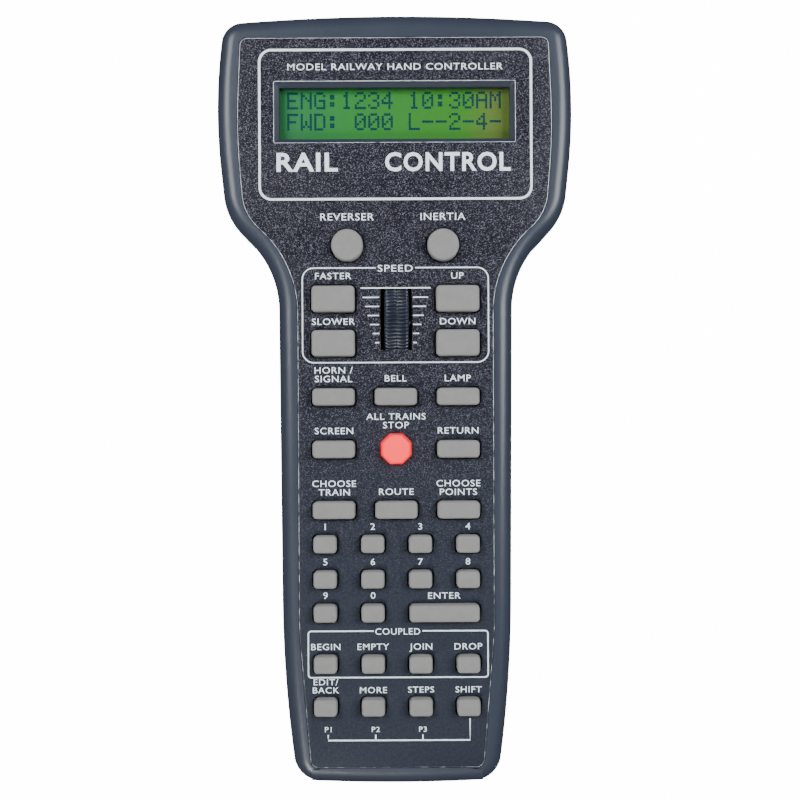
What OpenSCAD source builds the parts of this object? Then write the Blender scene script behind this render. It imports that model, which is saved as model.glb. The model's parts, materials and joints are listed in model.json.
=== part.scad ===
// Hand-held train set controller with a wide head for the display and a long handle for the keys.
// It lies on its back: z = 0 is the rear face, +Y points to the display end, +X to the right.

/* [Case] */
// Length of the case
body_len = 207; // [204:0.5:212]
// Greatest width of the head
head_w = 95.9; // [93:0.1:98]
// Width of the handle below the shoulders
handle_w = 63; // [60:0.1:64]
// Thickness of the case, without the keys
body_h = 30; // [29:0.5:32]
// Height of the seam between the two shells
seam_z = 14; // [12:0.5:15]
// Wall thickness of the shells
wall = 2.2; // [1.8:0.1:2.6]
// Thickness of the front face under the overlay
face_t = 2.2; // [1.8:0.1:2.4]
// Rounding between the front face and the sides
front_round = 4.1; // [3:0.1:4.1]
// Rounding between the rear face and the sides
rear_round = 4; // [2:0.1:5]

/* [Overlay] */
// Thickness of the printed overlay
overlay_t = 0.4; // [0.2:0.1:0.6]
// Gap between the overlay and the edge of its recess
overlay_gap = 0.15; // [0.1:0.05:0.3]
// Height of the overlay's straight top edge above the middle of the case
overlay_top = 96.7; // [95:0.1:97]
// Depth of the overlay's straight bottom edge below the middle of the case
overlay_bottom = 98.4; // [97:0.1:98.4]

/* [Keys] */
// Distance between the columns of small keys
key_pitch = 12.7; // [12:0.1:13]
// Distance of the outer columns of wide keys from the middle
wide_col = 16.6; // [16:0.1:17]
// How far the keys stand above the front face
key_proud = 2.2; // [2:0.1:4]
// How far a key moves when it is pressed
key_travel = 1.0; // [0.8:0.05:1.0]
// Gap between a key and its hole
key_gap = 0.45; // [0.4:0.05:0.6]
// Width of the rounded upper edge of a key
key_soft = 0.6; // [0.3:0.1:0.8]

/* [Thumbwheel] */
// Radius of the wheel
wheel_r = 12.5; // [12:0.1:12.6]
// Width of the wheel
wheel_w = 6.5; // [6:0.1:7]
// Number of ribs on the rim
wheel_ribs = 72; // [48:1:84]
// Radius of the potentiometer shaft
shaft_r = 1.5; // [1.2:0.1:2]
// Running clearance of the shaft in its bearing
shaft_clearance = 0.05; // [0.02:0.01:0.09]

/* [Display] */
// Width of the window in the front shell
window_w = 62.1; // [60:0.1:63]
// Height of the window in the front shell
window_h = 13.9; // [13:0.1:15]
// Width of the slope round the window
window_slope = 1.2; // [0.8:0.1:1.5]
// Height of the middle of the window above the middle of the case
window_y = 76.9; // [76:0.1:78]

/* [Cord socket] */
// Outer width of the socket
jack_w = 13.2; // [12:0.1:14]
// Length of the socket, front to back
jack_len = 16; // [14:0.1:18]
// Width of the hollow that takes the plug
plug_w = 9.8; // [9.7:0.1:10]
// Height of the hollow that takes the plug
plug_h = 7.4; // [7:0.1:7.6]

/* [Hidden] */
eps = 0.01;

// The left and right halves mirror each other. Each corner is [x, y, radius, facets].
half_len = body_len / 2;
head_x = head_w / 2;
handle_x = handle_w / 2;
top_corner = [head_x - 1.8, half_len - 1.9, 6, 10];
bottom_corner = [handle_x - 4.3, -half_len + 0.8, 7.5, 10];
body_loop = mirrored([
    crown(bottom_corner, -1, 0.8, 5),
    bottom_corner,
    [handle_x - 0.7, -75.5, 340, 3],
    [handle_x + 0.1, 34.9, 26, 7],
    [head_x - 2.3, 48.9, 17.5, 7],
    [head_x + 0.9, 79, 150, 4],
    top_corner,
    crown(top_corner, 1, 1.9, 5)
]);
overlay_top_corner = [head_x - 6.75, overlay_top, 2, 10];
overlay_bottom_corner = [handle_x - 8.4, -overlay_bottom, 2.2, 10];
overlay_loop = mirrored([
    crown(overlay_bottom_corner, -1, 0.02, 5),
    overlay_bottom_corner,
    [handle_x - 5.4, -62, 100, 3],
    [handle_x - 5.3, 36.2, 30, 7],
    [head_x - 7.45, 49.7, 13.5, 7],
    [head_x - 5.65, 72, 150, 4],
    overlay_top_corner,
    crown(overlay_top_corner, 1, 0.02, 5)
]);

// Levels, from the front face downwards
face_z = body_h;
recess_z = face_z - overlay_t;
plate_z = recess_z - face_t;
joined = 0.3; // how far bosses and posts run into the wall that they stand on
key_top = face_z + key_proud;
flange_top = plate_z - 0.2;
flange_t = 1;
flange_z = flange_top - flange_t;
plunger_h = 1;
pill_t = 0.3;
pill_z = flange_z - plunger_h - pill_t;
pressed_gap = 0.2; // what is left under a pill when its key is pressed
board_top = pill_z - key_travel - pressed_gap;
board_t = 1.6;
board_z = board_top - board_t;
mat_t = 1.4;
pad_t = 0.1;

// Case screws: sunk into the rear, screwed into bosses on the front shell
case_holes = [[37.5, 53.5], [23.5, -21], [20, -93.5]];
boss_r = 3.2;
pilot_r = 1.2;
screw_r = 1.45;
screw_hole_r = 1.7;
head_r = 2.7;
sink_r = 3;
sink_z = 5;
sink_rim = 1.2; // material left round and under the head of a case screw
screw_tip = 23;
seam_edge = 0.35;

// Board screws and the posts that they hold on to
board_holes = [[24, 43], [24, -6], [24, -63]];
post_r = 2;
board_screw_r = 1.1;
board_head_r = 1.9;
board_head_t = 1.5;
board_recess = [2.2, 0.8]; // span and depth of the cross in the head
case_recess = [3.2, 1.1];
recess_slot = 0.5;
board_screw_grip = 4;
lcd_screw_grip = 5;

// Key shapes: [width, height]
round_key = [8.5, 8.5];
stop_key = [7.4, 7.4];
speed_key = [11.5, 7];
wide_key = [11.3, 4.6];
small_key = [6.2, 4.6];
enter_key = [18.7, 4.6];
key_corner = 1.1;
key_facets = 4;
flange_lip = 0.75;
plunger_inset = 0.9;
pill_inset = 1.2;
mat_gap = 0.4;
mat_inset = 4.4;

// Columns and rows of the keys
in_col = key_pitch / 2;
out_col = key_pitch * 3 / 2;
enter_col = key_pitch;
rows = [41.1, 26.8, 15, 0.7, -13.3, -29.5, -38.6, -48, -57, -70.6, -82];

// Each key is [name, column, row, outline, size]
KEYS = [
    ["key_direction", -12.8, 0, "round", round_key],
    ["key_momentum", 12.8, 0, "round", round_key],
    ["key_speed_up_fast", -wide_col, 1, "block", speed_key],
    ["key_speed_up", wide_col, 1, "block", speed_key],
    ["key_speed_down_fast", -wide_col, 2, "block", speed_key],
    ["key_speed_down", wide_col, 2, "block", speed_key],
    ["key_horn", -wide_col, 3, "block", wide_key],
    ["key_bell", 0, 3, "block", wide_key],
    ["key_headlight", wide_col, 3, "block", wide_key],
    ["key_option", -wide_col, 4, "block", wide_key],
    ["key_emergency_stop", 0, 4, "octagon", stop_key],
    ["key_recall", wide_col, 4, "block", wide_key],
    ["key_select_loco", -wide_col, 5, "block", wide_key],
    ["key_macro", 0, 5, "block", wide_key],
    ["key_select_accessory", wide_col, 5, "block", wide_key],
    ["key_1", -out_col, 6, "block", small_key],
    ["key_2", -in_col, 6, "block", small_key],
    ["key_3", in_col, 6, "block", small_key],
    ["key_4", out_col, 6, "block", small_key],
    ["key_5", -out_col, 7, "block", small_key],
    ["key_6", -in_col, 7, "block", small_key],
    ["key_7", in_col, 7, "block", small_key],
    ["key_8", out_col, 7, "block", small_key],
    ["key_9", -out_col, 8, "block", small_key],
    ["key_0", -in_col, 8, "block", small_key],
    ["key_enter", enter_col, 8, "block", enter_key],
    ["key_setup", -out_col, 9, "block", small_key],
    ["key_clear", -in_col, 9, "block", small_key],
    ["key_add", in_col, 9, "block", small_key],
    ["key_delete", out_col, 9, "block", small_key],
    ["key_program", -out_col, 10, "block", small_key],
    ["key_expand", -in_col, 10, "block", small_key],
    ["key_steps", in_col, 10, "block", small_key],
    ["key_shift", out_col, 10, "block", small_key]
];

// Thumbwheel and its potentiometer
wheel_x = 0.3;
wheel_y = 21.4;
wheel_z = face_z - 10;
rib_depth = 0.45;
slot_w = 8.3;
slot_x = 0.2;
slot_r = wheel_r + 0.45;
slot_len = 2 * sqrt(pow(slot_r, 2) - pow(face_z - wheel_z, 2));
pot_x = wheel_x + wheel_w / 2 + 0.95;
pot_w = 5.5;
pot_size = 9.4;
bearing_r = 3;
well_x = [-4.6, 12.6];
well_y = 13;

// Display module, from the window downwards
window_size = [window_w, window_h];
window_mouth = window_size + 2 * [window_slope, window_slope];
lcd_board_size = [80, 36, 1.6];
lcd_board_z = 16.9;
lcd_top = lcd_board_z + lcd_board_size.z;
bezel_size = [71.2, 24.2];
bezel_top = 26.2;
bezel_t = 0.5;
bezel_view = [64.4, 15.6];
glass_t = 1.9;
lcd_holes = [37.5, 15.5];
lcd_post_r = 2.2;

// Cord socket, hung under the end of the main board
jack_h = 13;
jack_front = -half_len + 0.5;
jack_z = board_z - jack_h;
plug_z = jack_z + 3;
plug_depth = 12.5;
latch_w = 6.2;
latch_h = 1.5;
jack_fit = 0.2;
contact_pitch = 1.02;
contact_w = 0.35;

// ---- Loops: closed outlines whose corners are [x, y, radius, facets] ----

// Point i of a list that closes on itself
function at(list, i) = list[(i + len(list)) % len(list)];

// Unit vector from a to b
function heading(a, b) = let (d = [b.x - a.x, b.y - a.y]) d / norm(d);

// The direction turned a quarter to the left, which is inwards on a loop
function inwards(d) = [-d.y, d.x];

// The corner in the middle of an edge that bulges by rise between two mirrored corners
function crown(corner, side, rise, facets, share = 0.85) =
    let (slope = rise / (corner.x * (1 - share / 2)))
    [0, corner.y + side * corner.x * slope, share * corner.x / slope, facets];

// Right-hand corners, bottom to top, with their mirror images added
function mirrored(right) = concat(right, [
    for (i = [len(right) - 1 : -1 : 0])
        let (c = right[i])
        if (c.x > 0) [-c.x, c.y, c[2], c[3]]
]);

// Corners of a rounded rectangle of the given size
function block(size, r, facets = key_facets) = [
    for (s = [[1, -1], [1, 1], [-1, 1], [-1, -1]]) [s.x * size.x / 2, s.y * size.y / 2, r, facets]
];

// The loop moved inwards by d, with each radius changed to match
function inset(loop, d) = [
    for (i = [0 : len(loop) - 1])
        let (
            c = loop[i],
            u = heading(at(loop, i - 1), c),
            v = heading(c, at(loop, i + 1)),
            shift = d * (inwards(u) + inwards(v)) / (1 + u * v)
        )
        [c.x + shift.x, c.y + shift.y, max(0.2, c[2] - sign(cross(u, v)) * d), c[3]]
];

// Points of the loop with an arc at every corner
function rounded(loop) = [
    for (i = [0 : len(loop) - 1])
        let (
            c = loop[i],
            u = heading(at(loop, i - 1), c),
            v = heading(c, at(loop, i + 1)),
            turn = atan2(cross(u, v), u * v),
            r = c[2],
            start = [c.x, c.y] - u * r * tan(abs(turn) / 2),
            to_centre = sign(turn) * inwards(u),
            centre = start + r * to_centre
        )
        for (k = [0 : c[3]])
            let (a = turn * k / c[3], n = -r * to_centre)
            centre + [n.x * cos(a) - n.y * sin(a), n.x * sin(a) + n.y * cos(a)]
];

// Quarter of an ellipse from [x, z] to [x + r, z + rise], as [inset, height] points
function quarter(x, z, r, rise, facets = 6) = [
    for (k = [0 : facets])
        let (a = 90 * k / facets)
        [x + r * (1 - cos(a)), z + rise * sin(a)]
];

// The same list back to front
function reversed(list) = [for (i = [len(list) - 1 : -1 : 0]) list[i]];

// Layers of one loop, for a profile of [inset, height] points
function layers(loop, profile) = [for (p = profile) [inset(loop, p.x), p.y]];

// A skin through layers of [loop, height], closed at both ends by strips that run straight across.
// Every loop is mirrored and has the same facets, and its first corner has an odd number of them.
module skin(layers) {
    rings = [for (l = layers) [for (q = rounded(l[0])) [q.x, q.y, l[1]]]];
    n = len(rings[0]);
    last = (len(rings) - 1) * n;
    middle = layers[0][0][0][3];
    strips = [for (i = [(middle + 1) / 2 : (middle + n) / 2 - 1]) [i, (middle - i + n) % n]];
    polyhedron(
        points = [for (ring = rings) each ring],
        faces = concat(
            [for (s = strips) [s[0], s[0] + 1, (s[1] + n - 1) % n, s[1]]],
            [for (s = strips) [for (k = [s[0], s[1], (s[1] + n - 1) % n, s[0] + 1]) last + k]],
            [
                for (j = [0 : len(rings) - 2], i = [0 : n - 1])
                    let (a = j * n, b = a + n, k = (i + 1) % n)
                    [a + i, b + i, b + k, a + k]
            ]
        ),
        convexity = 6
    );
}

// Copies on the left and the right of the middle
module both_sides(places) {
    for (p = places, side = [-1, 1])
        translate([side * p.x, p.y, 0]) children();
}

// ---- Keys ----

module key_outline(key, grow) {
    size = key[4] + 2 * [grow, grow];
    translate([key[1], rows[key[2]]]) {
        if (key[3] == "round") circle(d = size.x, $fn = 64);
        else if (key[3] == "octagon") rotate(22.5) circle(r = size.x / 2 / cos(22.5), $fn = 8);
        else polygon(rounded(block(size, key_corner + max(0, grow))));
    }
}

module key_slab(key, grow, z, t) {
    translate([0, 0, z])
        linear_extrude(t) key_outline(key, grow);
}

// A silicone key: soft top, straight stem, flange behind the face and a conductive pill below
module key(key) {
    edge_z = key_top - key_soft;
    color(key[3] == "octagon" ? "indianred" : "darkgray") {
        hull() {
            key_slab(key, 0, flange_top - eps, edge_z - flange_top);
            key_slab(key, -key_soft * 0.3, edge_z + key_soft * 0.7, eps);
            key_slab(key, -key_soft, key_top - eps, eps);
        }
        key_slab(key, flange_lip, flange_z, flange_t);
        key_slab(key, -plunger_inset, flange_z - plunger_h, plunger_h);
    }
    color("black") key_slab(key, -pill_inset, pill_z, pill_t);
}

// ---- Case ----

module post(r, z, top) {
    translate([0, 0, z]) cylinder(r = r, h = top - z, $fn = 48);
}

module case_bosses(r, z, top) {
    both_sides(case_holes) post(r, z, top);
}

// Copies at the corner holes of the display board
module lcd_corners() {
    for (x = [-1, 1] * lcd_holes.x, y = [-1, 1] * lcd_holes.y)
        translate([x, window_y + y, 0]) children();
}

// The space that the socket takes out of the end wall
module jack_cutout() {
    translate([-jack_w / 2 - jack_fit, -half_len - 1, jack_z - jack_fit])
        cube([jack_w + 2 * jack_fit, 4, jack_h + 2 * jack_fit]);
}

module slot_cutout() {
    translate([slot_x - slot_w / 2, wheel_y, wheel_z])
        rotate([0, 90, 0]) cylinder(r = slot_r, h = slot_w, $fn = 96);
}

module window_cutout() {
    translate([0, window_y, 0]) {
        translate([0, 0, bezel_top]) linear_extrude(face_z - bezel_top + 1)
            square(window_size, center = true);
        hull() {
            translate([0, 0, recess_z - window_slope]) linear_extrude(eps)
                square(window_size, center = true);
            translate([0, 0, recess_z]) linear_extrude(1) square(window_mouth, center = true);
        }
    }
}

module front_shell() {
    recess = inset(overlay_loop, -overlay_gap);
    lip = 1.15;
    lip_h = 1.6;
    inner_round = front_round - wall;
    apron = 3; // how much wider than the window the rim round it is
    profile = concat(
        reversed(quarter(wall, plate_z - inner_round, inner_round, inner_round, 3)),
        [[wall, seam_z + lip_h], [lip, seam_z + lip_h], [lip, seam_z]],
        [[seam_edge, seam_z], [0, seam_z + seam_edge]],
        quarter(0, face_z - front_round, front_round, front_round)
    );
    color("dimgray")
        difference() {
            union() {
                skin(concat(layers(body_loop, profile), [[recess, face_z], [recess, recess_z]]));
                case_bosses(boss_r, seam_z + 0.1, plate_z + joined);
                both_sides(board_holes) post(post_r, board_top, plate_z + joined);
                lcd_corners() post(lcd_post_r, lcd_top, plate_z + joined);
                translate([0, window_y, bezel_top + 0.1])
                    linear_extrude(plate_z - bezel_top)
                        square(window_size + [apron, apron], center = true);
            }
            for (k = KEYS) key_slab(k, key_gap, plate_z - 1, face_t + 3);
            window_cutout();
            slot_cutout();
            jack_cutout();
            case_bosses(pilot_r, seam_z, screw_tip + 1);
            both_sides(board_holes) post(board_screw_r, board_top - 1, board_top + board_screw_grip + 0.2);
            lcd_corners() post(board_screw_r, lcd_top - 1, lcd_top + lcd_screw_grip + 0.5);
        }
}

module rear_shell() {
    tongue = 1.25;
    tongue_top = seam_z + 1.4;
    inner_round = rear_round - wall;
    label = [38, 60];
    label_y = -40;
    label_depth = 0.3;
    profile = concat(
        reversed([for (p = quarter(0, 0, rear_round, rear_round, 5)) [p.x, rear_round - p.y]]),
        [[0, seam_z - seam_edge], [seam_edge, seam_z]],
        [[tongue, seam_z], [tongue, tongue_top], [wall, tongue_top]],
        [for (p = quarter(wall, 0, inner_round, inner_round, 3)) [p.x, rear_round - p.y]]
    );
    color("dimgray")
        difference() {
            union() {
                skin(layers(body_loop, profile));
                case_bosses(sink_r + sink_rim, wall - joined, sink_z + sink_rim);
                case_bosses(boss_r, sink_z, seam_z);
            }
            case_bosses(screw_hole_r, -1, seam_z + 1);
            case_bosses(sink_r, -1, sink_z);
            translate([0, label_y, label_depth - 1]) linear_extrude(1) polygon(rounded(block(label, 2)));
            jack_cutout();
        }
}

module panel_overlay() {
    color("slategray")
        translate([0, 0, recess_z]) linear_extrude(overlay_t)
            difference() {
                polygon(rounded(overlay_loop));
                for (k = KEYS) key_outline(k, key_gap);
                translate([slot_x, wheel_y]) square([slot_w, slot_len], center = true);
                translate([0, window_y]) square(window_mouth, center = true);
            }
}

// ---- Keypad and main board ----

// What the main board and the mat both have to clear: the wheel well and the case bosses
module inner_clearances() {
    translate([well_x[0], wheel_y - well_y]) square([well_x[1] - well_x[0], 2 * well_y]);
    both_sides(case_holes) circle(r = boss_r + 0.5, $fn = 48);
    for (side = [-1, 1])
        translate([side * (case_holes[1].x + 5), case_holes[1].y])
            square([10, 2 * boss_r + 1], center = true);
}

module keypad_mat() {
    color("gray")
        translate([0, 0, board_top]) linear_extrude(mat_t)
            difference() {
                intersection() {
                    polygon(rounded(inset(body_loop, mat_inset)));
                    translate([-29, -88]) square([58, 137]);
                }
                inner_clearances();
                for (k = KEYS) key_outline(k, flange_lip + mat_gap);
                both_sides(board_holes) circle(r = post_r + 0.3, $fn = 48);
            }
}

module main_board() {
    color("darkgreen")
        translate([0, 0, board_z]) linear_extrude(board_t)
            difference() {
                intersection() {
                    polygon(rounded(inset(body_loop, 3.6)));
                    translate([-30, -98]) square([60, 148]);
                }
                inner_clearances();
                both_sides(board_holes) circle(r = board_screw_r + 0.1, $fn = 48);
            }
}

module key_contact_pads() {
    color("goldenrod")
        for (k = KEYS) key_slab(k, -pill_inset, board_top, pad_t);
}

// ---- Parts on the underside of the main board; a chip is drawn upside down from its top ----

module under_board(x, y, turn = 0) {
    translate([x, y, board_z]) rotate([180, 0, turn]) children();
}

// A chip body with a row of leads on two sides, or on all four
module chip(size, leads, pitch, lead_w, sides) {
    translate([0, 0, 0.3 + size.z / 2]) cube(size, center = true);
    for (s = [0 : sides - 1])
        rotate(s * 360 / sides)
            for (i = [0 : leads - 1])
                translate([size.x / 2 - 0.2, (i - (leads - 1) / 2) * pitch - lead_w / 2, 0])
                    cube([0.9, lead_w, 1.2]);
}

module microcontroller() {
    color("black") under_board(0, -36) chip([16.6, 16.6, 3.9], 11, 1.27, 0.5, 4);
}

module transceiver_chip() {
    color("black") under_board(-8, -66) chip([3.9, 4.9, 1.5], 4, 1.27, 0.45, 2);
}

module crystal() {
    color("silver") under_board(12, -20) {
        linear_extrude(0.4) square([11.6, 5], center = true);
        linear_extrude(3.6) {
            square([6.4, 4.3], center = true);
            for (side = [-1, 1]) translate([side * 3.2, 0]) circle(d = 4.3, $fn = 48);
        }
    }
}

module voltage_regulator() {
    color("black") under_board(12, -70) {
        translate([-5, -4.5, 0.5]) cube([10, 9, 4]);
        translate([-5, 4.5 - eps, 0.5]) cube([10, 6, 1.3]);
        for (i = [-1 : 1]) translate([i * 2.54 - 0.4, -8, 0]) cube([0.8, 4, 1.2]);
    }
}

module filter_capacitor() {
    color("midnightblue") under_board(-15, -76)
        rotate_extrude($fn = 64)
            polygon([[0, 0], [4, 0], [4, 1], [3.7, 1.4], [4, 1.8], [4, 11], [3.6, 11.5], [0, 11.5]]);
}

module chip_parts() {
    color("tan")
        for (i = [0 : 5], side = [-1, 1])
            under_board(side * 16, -44 - i * 3) translate([-1, -0.6, 0]) cube([2, 1.25, 0.6]);
    color("tan")
        for (i = [0 : 4])
            under_board(-16 + i * 4, 4) translate([-0.6, -1, 0]) cube([1.25, 2, 0.6]);
}

module contrast_trimmer() {
    color("royalblue") under_board(16, 40)
        difference() {
            translate([-3.3, -3.5, 0]) cube([6.6, 7, 4.6]);
            translate([0, 0, 4]) cylinder(r = 1.6, h = 1, $fn = 48);
        }
}

// ---- Cord socket ----

module cord_jack() {
    color("black")
        difference() {
            translate([-jack_w / 2, jack_front, jack_z]) cube([jack_w, jack_len, jack_h]);
            translate([-plug_w / 2, jack_front - 1, plug_z]) cube([plug_w, plug_depth + 1, plug_h]);
            translate([-latch_w / 2, jack_front - 1, plug_z - latch_h])
                cube([latch_w, plug_depth + 1, latch_h + 1]);
        }
}

// Six springy wires that slope down from the roof of the socket
module cord_jack_contacts() {
    roof = plug_z + plug_h;
    mouth = jack_front + 2;
    tip = jack_front + plug_depth - 1.2;
    color("gold")
        for (i = [-2.5 : 2.5])
            translate([i * contact_pitch + contact_w / 2, 0, 0]) rotate([90, 0, -90])
                linear_extrude(contact_w)
                    polygon([[-mouth, roof], [-mouth - 0.8, roof], [-tip, roof - 1.6], [-tip, roof - 2]]);
}

// ---- Display ----

module lcd_board() {
    color("darkgreen")
        translate([0, window_y, lcd_board_z]) linear_extrude(lcd_board_size.z)
            difference() {
                square([lcd_board_size.x, lcd_board_size.y], center = true);
                translate([0, -window_y]) lcd_corners() circle(r = board_screw_r + 0.1, $fn = 48);
            }
}

module lcd_frame() {
    inner = bezel_size - 2 * [bezel_t, bezel_t];
    color("black")
        translate([0, window_y, lcd_top])
            difference() {
                linear_extrude(bezel_top - lcd_top) square(bezel_size, center = true);
                translate([0, 0, -eps]) linear_extrude(bezel_top - lcd_top - bezel_t + eps)
                    square(inner, center = true);
                linear_extrude(20) square(bezel_view, center = true);
            }
}

module lcd_slab(z, t) {
    size = bezel_size - 2 * [bezel_t + 0.1, bezel_t + 0.1];
    translate([0, window_y, z]) linear_extrude(t) square(size, center = true);
}

module lcd_glass() {
    color("olivedrab") lcd_slab(bezel_top - bezel_t - glass_t, glass_t);
}

module lcd_backlight() {
    color("palegreen") lcd_slab(lcd_top, bezel_top - bezel_t - glass_t - lcd_top);
}

// Flat cable that hangs in a loop from the display board to the main board, as [y, z] along its run
module lcd_ribbon() {
    cable_t = 0.5;
    cable_w = 20.3;
    cable_x = -30;
    from = [61, lcd_board_z - cable_t];
    to = [46, board_z - cable_t];
    run = [
        for (k = [0 : 12])
            let (s = k / 12, drop = 6)
            (1 - s) * (1 - s) * from + 2 * s * (1 - s) * [52, from.y - drop] + s * s * to
    ];
    color("lightgray")
        translate([cable_x, 0, 0]) rotate([90, 0, 90]) linear_extrude(cable_w)
            polygon(concat(run, reversed([for (p = run) p + [0, cable_t]])));
}

// ---- Screws, each set of equal ones in one node ----

module lcd_screws() {
    color("silver") lcd_corners() screw(lcd_board_z, lcd_top + lcd_screw_grip);
}

module board_screws() {
    color("silver") both_sides(board_holes) screw(board_z, board_top + board_screw_grip);
}

// Small screw whose head bears upwards at z = seat
module screw(seat, tip) {
    difference() {
        translate([0, 0, seat - board_head_t]) cylinder(r = board_head_r, h = board_head_t, $fn = 48);
        translate([0, 0, seat - board_head_t - eps]) cross_recess(board_recess);
    }
    translate([0, 0, seat - eps]) cylinder(r = board_screw_r, h = tip - seat, $fn = 32);
}

module cross_recess(size) {
    for (a = [0, 90])
        rotate(a) translate([-size[0] / 2, -recess_slot / 2, 0]) cube([size[0], recess_slot, size[1]]);
}

module case_screws() {
    head_t = 2;
    color("dimgray")
        both_sides(case_holes) {
            difference() {
                translate([0, 0, sink_z - head_t]) cylinder(r = head_r, h = head_t, $fn = 48);
                translate([0, 0, sink_z - head_t - eps]) cross_recess(case_recess);
            }
            translate([0, 0, sink_z - eps]) cylinder(r = screw_r, h = seam_z - sink_z, $fn = 32);
            translate([0, 0, seam_z - eps]) cylinder(r = pilot_r, h = screw_tip - seam_z, $fn = 32);
        }
}

// ---- Speed thumbwheel ----

// Places its children on the wheel's axle, with their z axis along +X
module on_axle(x) {
    translate([x, wheel_y, wheel_z]) rotate([0, 90, 0]) children();
}

module thumbwheel() {
    tooth = 360 / wheel_ribs;
    ribs = [
        for (i = [0 : wheel_ribs - 1], k = [[0, 0], [0.35, 0], [0.5, 1], [0.85, 1]])
            let (a = (i + k[0]) * tooth)
            (wheel_r - k[1] * rib_depth) * [cos(a), sin(a)]
    ];
    half_w = wheel_w / 2;
    rim = wheel_r - 2.5;
    web = 1.2;
    hub = 3;
    color("black")
        on_axle(wheel_x)
            intersection() {
                translate([0, 0, -half_w]) linear_extrude(wheel_w) polygon(ribs);
                rotate_extrude($fn = 96)
                    polygon([
                        [shaft_r, -half_w], [hub, -half_w], [hub, -web], [rim, -web], [rim, -half_w],
                        [wheel_r - 0.7, -half_w], [wheel_r + eps, 0.7 - half_w],
                        [wheel_r + eps, half_w - 0.7], [wheel_r - 0.7, half_w],
                        [rim, half_w], [rim, web], [hub, web], [hub, half_w], [shaft_r, half_w]
                    ]);
            }
}

module speed_pot_shaft() {
    start = wheel_x - wheel_w / 2;
    color("silver") on_axle(start) cylinder(r = shaft_r, h = pot_x + pot_w - 0.6 - start, $fn = 64);
}

module speed_pot_body() {
    bushing = 0.4;
    bore_r = shaft_r + shaft_clearance;
    color("steelblue")
        difference() {
            union() {
                translate([pot_x, wheel_y - pot_size / 2, board_top + 0.5 - pot_size])
                    cube([pot_w, pot_size, pot_size]);
                on_axle(pot_x - bushing) cylinder(r = bearing_r, h = bushing + eps, $fn = 64);
            }
            on_axle(pot_x - bushing - 1) cylinder(r = bore_r, h = pot_w + bushing + 0.5, $fn = 64);
        }
}

for (k = KEYS) key(k);
front_shell();
rear_shell();
panel_overlay();
keypad_mat();
main_board();
key_contact_pads();
microcontroller();
transceiver_chip();
crystal();
voltage_regulator();
filter_capacitor();
chip_parts();
contrast_trimmer();
cord_jack();
cord_jack_contacts();
lcd_board();
lcd_frame();
lcd_glass();
lcd_backlight();
lcd_ribbon();
lcd_screws();
board_screws();
case_screws();
thumbwheel();
speed_pot_shaft();
speed_pot_body();
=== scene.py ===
"""Looks of a hand-held train set controller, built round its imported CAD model."""

import json
import math

import bmesh
import bpy
from mathutils import Matrix, Vector

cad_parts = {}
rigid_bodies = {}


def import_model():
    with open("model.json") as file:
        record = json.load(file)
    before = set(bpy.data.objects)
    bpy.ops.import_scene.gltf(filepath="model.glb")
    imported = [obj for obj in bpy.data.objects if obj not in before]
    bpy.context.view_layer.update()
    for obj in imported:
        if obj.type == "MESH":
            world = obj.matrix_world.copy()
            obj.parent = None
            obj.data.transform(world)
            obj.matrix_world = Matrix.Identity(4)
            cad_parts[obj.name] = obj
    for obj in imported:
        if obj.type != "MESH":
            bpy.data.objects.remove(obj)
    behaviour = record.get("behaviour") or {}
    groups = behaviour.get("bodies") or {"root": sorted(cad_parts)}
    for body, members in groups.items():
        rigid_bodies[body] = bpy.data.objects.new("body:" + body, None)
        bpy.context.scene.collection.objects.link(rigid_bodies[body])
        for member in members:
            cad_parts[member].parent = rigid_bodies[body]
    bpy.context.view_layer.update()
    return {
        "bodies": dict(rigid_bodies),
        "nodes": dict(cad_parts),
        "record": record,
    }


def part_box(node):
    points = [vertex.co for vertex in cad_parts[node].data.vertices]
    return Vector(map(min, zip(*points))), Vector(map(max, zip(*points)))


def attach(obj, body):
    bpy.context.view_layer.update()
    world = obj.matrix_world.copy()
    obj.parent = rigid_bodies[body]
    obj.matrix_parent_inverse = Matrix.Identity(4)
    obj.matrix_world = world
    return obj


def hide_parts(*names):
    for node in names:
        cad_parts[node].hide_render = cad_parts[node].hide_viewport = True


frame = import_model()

MM = 0.001

# Levels and sizes of the CAD model, in millimetres
HALF_LEN, HEAD_X, HANDLE_X = 103.5, 47.95, 31.5
FACE_Z, RECESS_Z, PLATE_Z, SEAM_Z = 30.0, 29.6, 27.4, 14.0
WALL, FRONT_ROUND, REAR_ROUND = 2.2, 4.1, 4.0
SEAM_EDGE = [(0.35, 0), (0.1, 0.12), (0, 0.35)]  # inset, and distance from the seam
GROOVE, TONGUE = (1.15, 1.6), (1.25, 1.4)  # inset, and height above the seam
OVERLAY_GAP, FILM_BEVEL, KEY_GAP, KEY_LIP = 0.15, 0.13, 0.45, 0.75
WINDOW, WINDOW_R, WINDOW_Y = (62.1, 13.9), 0.25, 76.9
WINDOW_SLOPE, WINDOW_RIM = 1.2, 1.5
BEZEL_TOP, LCD_TOP, BOARD_TOP = 26.2, 18.5, 23.7
SLOT_X, SLOT_W, SLOT_R = 0.2, 8.3, 12.95
CASE_HOLES = [(37.5, 53.5), (23.5, -21.0), (20.0, -93.5)]
BOARD_HOLES = [(24, 43), (24, -6), (24, -63)]
LCD_HOLES = [(37.5, 15.5), (37.5, -15.5)]  # from the middle of the window
BOSS_R, BOARD_POST_R, LCD_POST_R, BOSS_TOP = 3.2, 2, 2.2, 27.6
SCREW_R, SCREW_HOLE_R, PILOT_R, POST_HOLE_R = 1.45, 1.7, 1.2, 1.1
SINK_R, SINK_Z, SINK_RIM, SINK_EDGE = 3, 5, 1.2, 0.25
LABEL, LABEL_Y, LABEL_DEPTH = (38, 60), -40, 0.3
JACK_GAP, OVERLAP = 0.2, 0.1


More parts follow.
